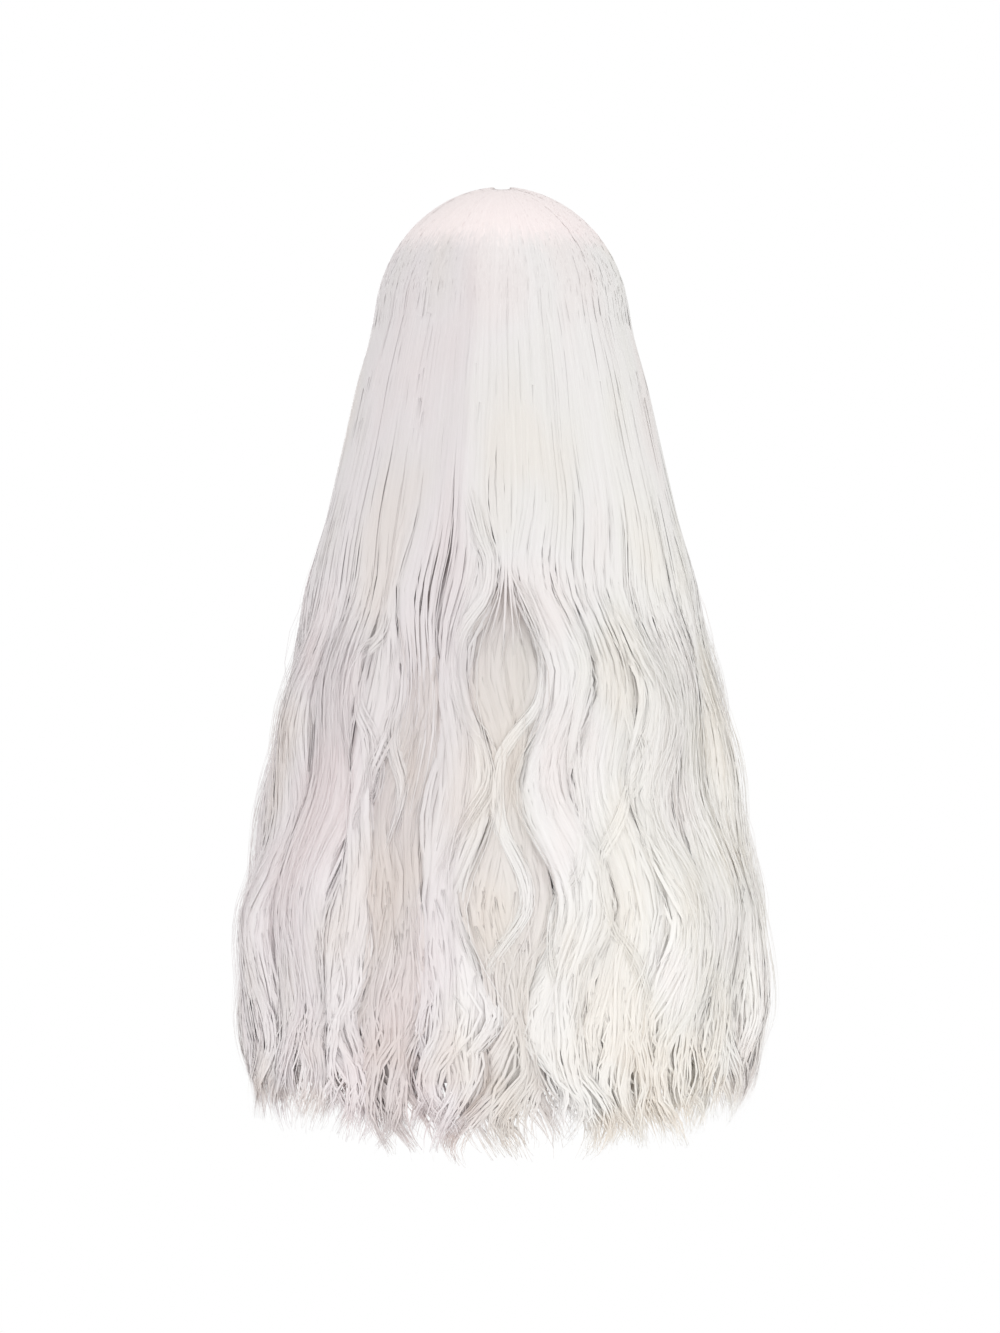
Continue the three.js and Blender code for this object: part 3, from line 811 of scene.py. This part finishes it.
# Where the wisps that cross over the locks lie: how far to the right of the middle and how far below
# the crown.
crossing_wisps = [
    {"lock": "lock_back_left_1", "seed": 1,
     "aside": [-0.025, -0.025, -0.016, -0.009, -0.012, -0.029, -0.034,
               -0.026, -0.013, -0.008, -0.021, -0.040, -0.051, -0.064],
     "down": [0.155, 0.205, 0.248, 0.269, 0.294, 0.320, 0.351,
              0.380, 0.399, 0.426, 0.451, 0.483, 0.507, 0.533]},
    {"lock": "lock_back_right_1", "seed": 2,
     "aside": [0.003, 0.006, 0.020, 0.032, 0.028, 0.010, -0.002, -0.004,
               0.001, 0.016, 0.017, -0.001, -0.012, -0.002, 0.020],
     "down": [0.226, 0.269, 0.301, 0.333, 0.369, 0.392, 0.412, 0.440,
              0.465, 0.494, 0.519, 0.544, 0.565, 0.601, 0.633]},
    {"lock": "lock_back_left_3", "seed": 3,
     "aside": [-0.079, -0.086, -0.104, -0.109, -0.095, -0.097, -0.110, -0.123],
     "down": [0.269, 0.318, 0.337, 0.369, 0.397, 0.433, 0.460, 0.497]},
    {"lock": "lock_back_left_2", "seed": 4,
     "aside": [-0.073, -0.075, -0.078, -0.084, -0.076, -0.084, -0.098],
     "down": [0.298, 0.333, 0.369, 0.399, 0.433, 0.469, 0.505]},
    {"lock": "lock_back_right_2", "seed": 5,
     "aside": [0.036, 0.038, 0.050, 0.061, 0.056, 0.053, 0.058, 0.054, 0.038, 0.035, 0.048, 0.070],
     "down": [0.255, 0.287, 0.313, 0.342, 0.377, 0.415, 0.455, 0.489, 0.515, 0.555, 0.585, 0.622]},
    {"lock": "lock_back_right_3", "seed": 6,
     "aside": [0.089, 0.096, 0.103, 0.088, 0.073, 0.078, 0.098, 0.109, 0.106],
     "down": [0.326, 0.376, 0.413, 0.449, 0.485, 0.520, 0.555, 0.592, 0.630]},
]


def rounded(values, steps):
    """Values along a smooth curve through the given ones."""
    given = np.array([2 * values[0] - values[1], *values, 2 * values[-1] - values[-2]])
    at = np.linspace(0, len(values) - 1.001, steps)
    first = at.astype(int)
    t = at - first
    a, b, c, d = (given[first + k] for k in range(4))
    return b + 0.5 * t * (c - a + t * (2 * a - 5 * b + 4 * c - d + t * (3 * (b - c) + d - a)))


curve_points = 200
last_start, first_end, crossing_rise = 0.2, 0.66, 0.2
crossing_spread, crossing_wander, crossing_uneven = 0.55, 0.12, 0.006
ends_width, middle_width, width_swell, width_turns = 0.009, 0.006, 0.25, 9
ends_sunk, middle_raised, crossing_round, crossing_layer = 0.002, 0.003, 0.002, 0.0012


def crossing_strands(route, count, steps, widest):
    """Strands of a raised wisp that follows its own route over the locks and sinks into them at both
    ends."""
    rng = np.random.default_rng(500 + route["seed"] + count)
    along = np.linspace(0, 1, steps)[None, :]
    t = mix(rng.uniform(0, last_start, (count, 1)), rng.uniform(first_end, 1, (count, 1)), along)
    known = np.linspace(0, 1, curve_points)
    share = (np.interp(t, known, rounded(route["down"], curve_points)) - head_height) / fall_length
    full = np.minimum(smooth(t / crossing_rise), smooth((1 - t) / crossing_rise))
    beside = np.clip(rng.normal(0, crossing_spread, count), -1, 1)[:, None]
    beside = beside + wobble(rng, count, steps, crossing_wander, (1, 2.5))
    half_width = mix(ends_width, middle_width, full)
    half_width = half_width * (1 + width_swell * np.sin(width_turns * t + route["seed"]))
    aside = np.interp(t, known, rounded(route["aside"], curve_points)) + beside * half_width
    share = share + rng.uniform(-crossing_uneven, crossing_uneven, (count, 1))
    angle = np.degrees(np.arcsin(aside / fall_sizes(share)[0]))
    outer = lock_depths(place_at(angle, share), share)[0] * lock_bared(share)
    depth = outer + mix(ends_sunk, -middle_raised, full) + crossing_round * beside**2
    depth = depth + crossing_layer * rng.random((count, 1))

    def at(turned):
        return fall_point(angle + turned, share, depth)

    shape = np.minimum(smooth(along / 0.15), smooth((1 - along) / 0.4)) * strand_point + (1 - strand_point)
    radii = strand_widths(rng, shape, count, widest)
    return at(0), radii, rng.random(count), at(beside_degrees) - at(-beside_degrees)


lock_sink, lock_cut = 0.0007, 0.065
side_from, side_to, rather_sunk = 0.3, 0.8, 0.6
lock_bands = {"count": 110, "steps": 26, "first": (0.06, 0.14), "last": (-0.02, 0.02),
              "widest": 0.0026, "inner_part": 0.22}
lock_fine = {"steps": 24, "first": (0.06, 0.4), "last": (-0.04, 0.03), "widest": 0.0004, "loose": 0.007}
fine_at_side, fine_elsewhere = {"count": 80, "few": 2}, {"count": 40, "few": 4}
lock_ends = {"count": 185, "steps": 12, "first": (0.68, 0.86), "last": (-0.02, 0.02),
             "widest": 0.0014, "inner_part": 0.4, "together": 0.3, "loose": 0.001}
crossing_broad = {"count": 30, "steps": 30, "widest": 0.0011}
crossing_fine = {"count": 18, "steps": 30, "widest": 0.0005}


def build_lock(lock):
    name = lock_names[lock]
    tip = lock_tip(lock)
    body = under_body(name, lock_sink, -head_height - (tip - lock_cut) * fall_length)
    settle(body, lock, tip)
    at_side = side_from < abs(edge_at[lock] + edge_at[lock + 1]) / 2 < side_to
    bands = lock_strands(lock, 100 + lock, **lock_bands)
    fine = lock_strands(lock, 200 + lock, **lock_fine, **(fine_at_side if at_side else fine_elsewhere))
    short = lock_strands(lock, 300 + lock, **lock_ends)
    # locks that lie deep in the hair take the shaded copy of the fibre, painted shade in their recess
    sunk = lock_sunk[lock] > rather_sunk
    fibre = shaded_fibre_material if sunk else fibre_material
    covers = [(strand_mesh(name + "_bands", *bands, band_flatness), fibre),
              (strand_mesh(name + "_fine", *fine, fine_flatness), fibre),
              (strand_mesh(name + "_short", *short, strip_flatness), fibre)]
    for route in crossing_wisps:
        if route["lock"] == name:
            broad = crossing_strands(route, **crossing_broad)
            fine = crossing_strands(route, **crossing_fine)
            # the crossing wisps take the lit copy of the fibre, painted light on the raised wisps
            covers += [(strand_mesh(name + "_crossing", *broad, strip_flatness), lit_fibre_material),
                       (strand_mesh(name + "_crossing_fine", *fine, fine_flatness), lit_fibre_material)]
    dress(body, name, shaded_fibre_material if sunk else under_material, covers)


for lock in range(len(lock_names)):
    build_lock(lock)

# Nape hair
# Shorter, straighter fibre sewn low on the back of the cap, which hangs inside the long locks and hides the
# cap's rim.
nape_drop, nape_hair, nape_start, nape_end = 0.052, 0.009, 0.024, 0.86
nape_sink, nape_cut, nape_flatness = 0.0008, 0.15, 0.12
nape_thinning, nape_thin_from, nape_thin_over, nape_uneven = 0.85, -0.3, 0.14, 0.025
nape_inner_part, nape_narrowed, nape_free_over = 0.72, 0.55, 0.06
nape_wave, nape_swing, nape_heave = 0.004, 0.0016, 0.0005
nape_layer, nape_inner_sunk, nape_inner_layer = 0.0015, 0.0008, 0.001
nape_bands = {"seed": 700, "count": 220, "steps": 20, "widest": 0.003}
nape_fine = {"seed": 701, "count": 120, "steps": 22, "widest": 0.0007}


def nape_outermost(share):
    """How deep below the outer hair the nape hair starts."""
    full = lock_thickness * read(fall_rows, "thick", share)
    return full + wave_swell * wave_size(ring_drop + share * fall_length) + lap_gap


def thin_nape(body):
    """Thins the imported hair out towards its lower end, which is uneven."""
    share, angle, depth = where_on_fall(vertices_of(body.data))
    thinning = nape_thinning * rise(share - nape_end, nape_thin_from, nape_thin_over)
    share = share + thinning * nape_uneven * (np.sin(angle / 3) + np.sin(angle / 1.3 + 1))
    depth = mix(depth, nape_outermost(share) + 0.001, thinning)
    lay(body, angle, share, depth, thinning > 0)


def nape_strands(seed, count, steps, widest):
    rng = np.random.default_rng(seed)
    angle = rng.uniform(-crown_back_angle + 1, crown_back_angle - 1, count)[:, None]
    inside = (rng.random(count) < nape_inner_part)[:, None]
    layer = (rng.random(count) ** 1.5)[:, None]
    first = rng.uniform(nape_start / fall_length + 0.01, 0.12, count)[:, None]
    last = rng.uniform(nape_end - 0.1, nape_end + 0.05, count)[:, None]
    share = mix(first, last, np.linspace(0, 1, steps)[None, :])
    drop = ring_drop + share * fall_length
    turn = rng.random((count, 1)) * 0.4
    wave = nape_wave * wave_size(drop) * np.sin(2 * np.pi * (drop / wave_length + turn))
    sway = wave + wobble(rng, count, steps, nape_swing, (1, 2, 4))
    outermost = nape_outermost(share)
    thickness = nape_hair * mix(1, nape_narrowed, share)
    tucked = np.minimum(layers - cap_wall, outermost + thickness)
    below_ring = share * fall_length
    innermost = mix(tucked, outermost + thickness, rise(below_ring, nape_drop * 0.6, nape_drop))
    below_cap = rise(below_ring, nape_drop, nape_free_over)
    innermost = innermost + nape_inner_sunk * below_cap - nape_inner_layer * layer
    depth = np.where(inside, innermost, outermost + nape_layer * layer)
    depth = depth + wobble(rng, count, steps, nape_heave, (1, 3))

    def at(angles):
        return fall_point(angles + sway * degrees_per_metre(angles, share), share, depth)

    t = np.linspace(0, 1, steps)[None, :]
    radii = strand_widths(rng, tapered(t, *nape_taper), count, widest)
    return at(angle), radii, rng.random(count), at(angle + beside_degrees) - at(angle - beside_degrees)


body = under_body("nape_hair", nape_sink, -head_height - (nape_end - nape_cut) * fall_length)
thin_nape(body)
bands = strand_mesh("nape_bands", *nape_strands(**nape_bands), nape_flatness)
strands = strand_mesh("nape_strands", *nape_strands(**nape_fine), fine_flatness)
dress(body, "nape_hair", under_material, [(bands, fibre_material), (strands, fibre_material)])

# Cap
# A thin elastic net in three panels, sewn edge to edge, with rows of stitching that the hair is
# sewn along.
row_spacing = 0.011
net_mesh = 0.0016
thread_width, row_width = 0.26, 0.11  # to each side, as a share of what lies between two of them
net_colours = [(0.2, (0.55, 0.47, 0.41)), (0.8, (0.8, 0.72, 0.65))]
stain_tones = [(0.3, (0.93, 0.92, 0.91)), (0.7, (1, 1, 1))]
stitch_colour = (0.86, 0.81, 0.76, 1)
net_relief = 0.0006


def map_cap(body):
    """Maps the cap with the distance round it and the distance down over it."""
    x, y, z = vertices_of(body.data).T
    turn = np.arctan2(x / head_width, -y / (head_back * 2))
    flat = np.hypot(x / (head_width / 2), y / head_back)
    over = np.arctan2(flat, np.maximum(z + head_height, 0) / head_height)
    down = over * head_height + np.maximum(-head_height - z, 0)
    lay_map(body.data, "net", turn * head_back, down)


def lines(tree, coordinate, spacing, width):
    """A mask that is 1 on evenly spaced lines and 0 between them."""
    scaled = node(tree, "ShaderNodeMath", operation="DIVIDE")
    tree.links.new(coordinate, scaled.inputs[0])
    scaled.inputs[1].default_value = spacing
    wave = node(tree, "ShaderNodeMath", operation="PINGPONG")
    tree.links.new(scaled.outputs[0], wave.inputs[0])
    wave.inputs[1].default_value = 0.5
    return span(tree, wave.outputs[0], 0, width, 1, 0)


def highest(tree, first, second):
    made = node(tree, "ShaderNodeMath", operation="MAXIMUM")
    tree.links.new(first, made.inputs[0])
    tree.links.new(second, made.inputs[1])
    return made.outputs[0]


def net_material():
    made, tree, shader = new_material("cap_net")
    uv = node(tree, "ShaderNodeUVMap", uv_map="net").outputs["UV"]
    turned = node(tree, "ShaderNodeMapping")
    turned.inputs["Rotation"].default_value = (0, 0, math.radians(45))
    tree.links.new(uv, turned.inputs["Vector"])
    slanted = axes(tree, turned.outputs[0])
    straight = axes(tree, uv)
    threads = highest(tree, lines(tree, slanted["X"], net_mesh, thread_width),
                      lines(tree, slanted["Y"], net_mesh, thread_width))
    rows = lines(tree, straight["Y"], row_spacing, row_width)
    place = node(tree, "ShaderNodeTexCoord").outputs["Object"]
    stain = noise(tree, place, 40, 3)
    base = ramp(tree, threads, net_colours)
    base = blend_colours(tree, "MIX", rows, base, stitch_colour)
    base = blend_colours(tree, "MULTIPLY", 1, base, ramp(tree, stain, stain_tones))
    emboss(tree, shader, highest(tree, threads, rows), 0.6, net_relief)
    tree.links.new(base, shader.inputs["Base Color"])
    tree.links.new(span(tree, rows, 0, 1, 0.85, 0.6), shader.inputs["Roughness"])
    shader.inputs["Sheen Weight"].default_value = 0.2
    return made


cap_material = net_material()
for name in ("cap_left", "cap_back", "cap_right"):
    body = smooth_copy(name, 2, edges_kept=True)
    map_cap(body)
    body.data.materials.append(cap_material)
    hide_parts(name)
    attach(body, "root")

# Parting strip
# A narrow strip of skin-toned mesh, glued and sewn along the top of the cap, with a dot at each knot
# of hair.
knot_spacing, knots_uneven = 0.0013, 0.4
weave_spacing, weave_width = 0.0005, 0.25
skin_tones = [(0.3, (0.8, 0.62, 0.53)), (0.7, (0.87, 0.71, 0.62))]
knot_colour = (0.9, 0.84, 0.78, 1)
strip_relief = 0.0003


def strip_material():
    made, tree, shader = new_material("parting_skin")
    place = node(tree, "ShaderNodeTexCoord").outputs["Object"]
    parts = axes(tree, place)
    mottle = noise(tree, place, 160, 3)
    base = ramp(tree, mottle, skin_tones)
    cells = node(tree, "ShaderNodeTexVoronoi")
    cells.inputs["Scale"].default_value = 1 / knot_spacing
    cells.inputs["Randomness"].default_value = knots_uneven
    tree.links.new(place, cells.inputs["Vector"])
    knots = span(tree, cells.outputs["Distance"], 0.12, 0.3, 1, 0)
    base = blend_colours(tree, "MIX", knots, base, knot_colour)
    weave = highest(tree, lines(tree, parts["X"], weave_spacing, weave_width),
                    lines(tree, parts["Y"], weave_spacing, weave_width))
    emboss(tree, shader, highest(tree, weave, knots), 0.35, strip_relief)
    tree.links.new(base, shader.inputs["Base Color"])
    tree.links.new(span(tree, mottle, 0.3, 0.7, 0.62, 0.5), shader.inputs["Roughness"])
    return made


body = smooth_copy("parting_strip", 2)
body.data.materials.append(strip_material())
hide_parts("parting_strip")
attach(body, "root")

# Floor
# A plain pale floor well below the tips, and soft light all round.
floor_radius, floor_height = 2.4, -1.6
floor_colour = (0.98, 0.98, 0.98, 1)
light_all_round = 0.695
lights = {
    "key": {"place": (0.8, -3, -0.1), "aim": (0, 0, -0.35), "size": 1, "power": 8.8},
    "fill": {"place": (-0.6, -2.4, -1.1), "aim": (0, 0, -0.66), "size": 0.9, "power": 10},
    "top": {"place": (0, -0.8, 1.9), "aim": (0, 0, -0.1), "size": 1, "power": 11},
    "front": {"place": (-0.6, 3, 0.1), "aim": (0, 0, -0.35), "size": 1.2, "power": 8},
    "left": {"place": (-2.4, 0.5, -0.6), "aim": (0, 0, -0.4), "size": 1.4, "power": 6.2},
    "right": {"place": (2.4, 0.1, -0.2), "aim": (0, 0, -0.2), "size": 1.4, "power": 7.5},
}
bpy.ops.mesh.primitive_circle_add(vertices=96, radius=floor_radius, fill_type="NGON",
                                  location=(0, 0, floor_height))
floor = bpy.context.object
floor.name = "floor"
bpy.ops.object.transform_apply(location=True)
floor_material, tree, shader = new_material("floor")
shader.inputs["Base Color"].default_value = floor_colour
shader.inputs["Roughness"].default_value = 0.9
floor.data.materials.append(floor_material)

world = bpy.data.worlds.new("studio")
bpy.context.scene.world = world
world.use_nodes = True
tree = world.node_tree
surroundings = tree.nodes["Background"]
path = node(tree, "ShaderNodeLightPath")
level = node(tree, "ShaderNodeMapRange")
level.inputs["To Min"].default_value = light_all_round
level.inputs["To Max"].default_value = 1
tree.links.new(path.outputs["Is Camera Ray"], level.inputs["Value"])
tree.links.new(level.outputs[0], surroundings.inputs["Strength"])
surroundings.inputs["Color"].default_value = (1, 1, 1, 1)


def area_light(name, place, aim, size, power):
    data = bpy.data.lights.new(name, "AREA")
    data.shape = "DISK"
    data.size = size
    data.energy = power
    made = bpy.data.objects.new(name, data)
    made.location = place
    made.rotation_euler = (Vector(aim) - Vector(place)).to_track_quat("-Z", "Y").to_euler()
    bpy.context.scene.collection.objects.link(made)


for name, light in lights.items():
    area_light(name, **light)

bpy.context.scene.view_settings.view_transform = "Standard"
